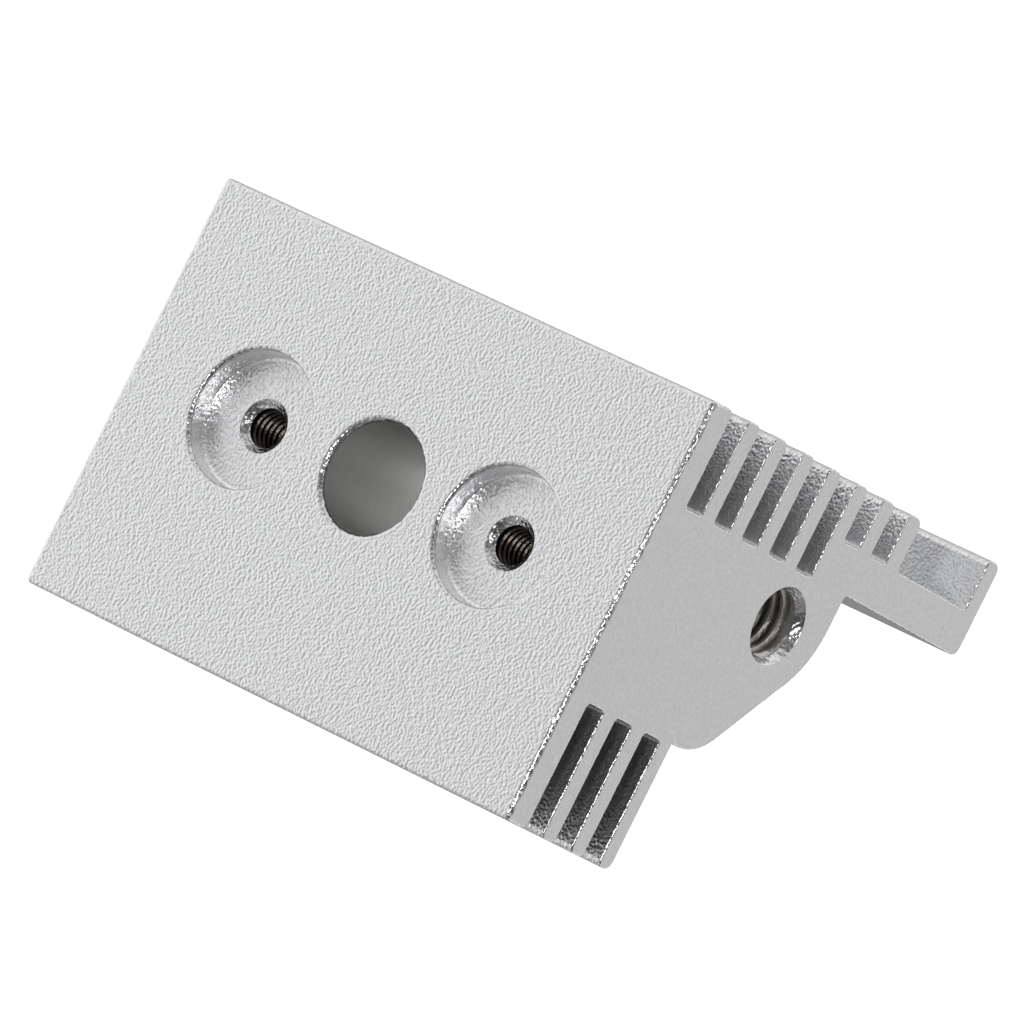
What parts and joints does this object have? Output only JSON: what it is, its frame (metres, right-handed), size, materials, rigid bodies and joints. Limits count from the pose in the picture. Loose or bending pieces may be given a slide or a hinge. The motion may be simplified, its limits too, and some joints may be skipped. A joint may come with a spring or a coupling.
{
  "type": "hotend heat sink",
  "caption": "Finned aluminium heat sink block of a 3-D printer hotend, with a smooth heat-break bore, tapped mounting holes and a grub screw that clamps the heat-break.",
  "frame": {"origin": "on the floor, under the middle of the bounding box, with the heat sink standing on its plain end", "axes": "+Z along the extrusion, towards the end with the tapped M5 hole; -Y out of the broad plate with the bore's mouth and the two counterbores; -X out of the side with seven slots and the flange, +X out of the side with three slots"},
  "size_m": [0.027, 0.034, 0.0395],
  "materials": {
    "blasted_aluminium": "bead-blasted plate and sides, satin cut ends",
    "black_oxide_steel": "black oxide, satin"
  },
  "bodies": {
    "heat_sink_block": {"heat_sink": "blasted_aluminium"},
    "clamp_screw": {"clamp_grub_screw": "black_oxide_steel"}
  },
  "joints": [
    {"name": "clamp_screw_travel", "type": "slide", "parent": "heat_sink_block", "child": "clamp_screw", "axis": [-1, 0, 0], "range_m": [-0.002, 0.0005]}
  ]
}
